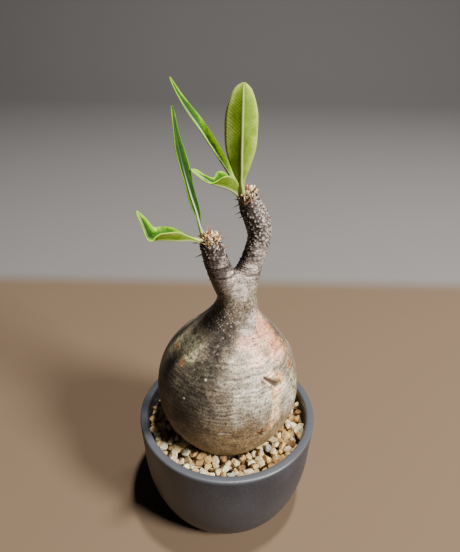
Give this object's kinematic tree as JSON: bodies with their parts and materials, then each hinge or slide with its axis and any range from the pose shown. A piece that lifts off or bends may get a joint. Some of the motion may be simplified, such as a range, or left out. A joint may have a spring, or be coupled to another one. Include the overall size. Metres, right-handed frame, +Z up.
{
  "type": "potted caudex plant",
  "caption": "Potted succulent with a swollen flask-shaped caudex, two spiny arms and narrow folded leaves, standing in a round ceramic pot topped with gravel.",
  "frame": {"origin": "middle of the pot's flat foot, on the surface that it stands on", "axes": "+Z up; the picture is taken from -Y, so +X is its right"},
  "size_m": [0.08, 0.08, 0.1956],
  "materials": {
    "pot": "dark charcoal, satin, unpatterned",
    "soil": "dark brown gritty potting mix",
    "gravel": "small angular cream and tan grains",
    "bark": "grey-brown living bark with fine horizontal wrinkles and spine scars",
    "leaf": "satin green leaf with a pale midrib"
  },
  "bodies": {
    "root": {"pot": "pot", "soil": "soil", "gravel": "gravel", "caudex": "bark", "leaf_right_upright": "leaf", "leaf_right_long": "leaf", "leaf_right_small": "leaf", "leaf_left_upright": "leaf", "leaf_left_folded": "leaf"}
  },
  "joints": []
}
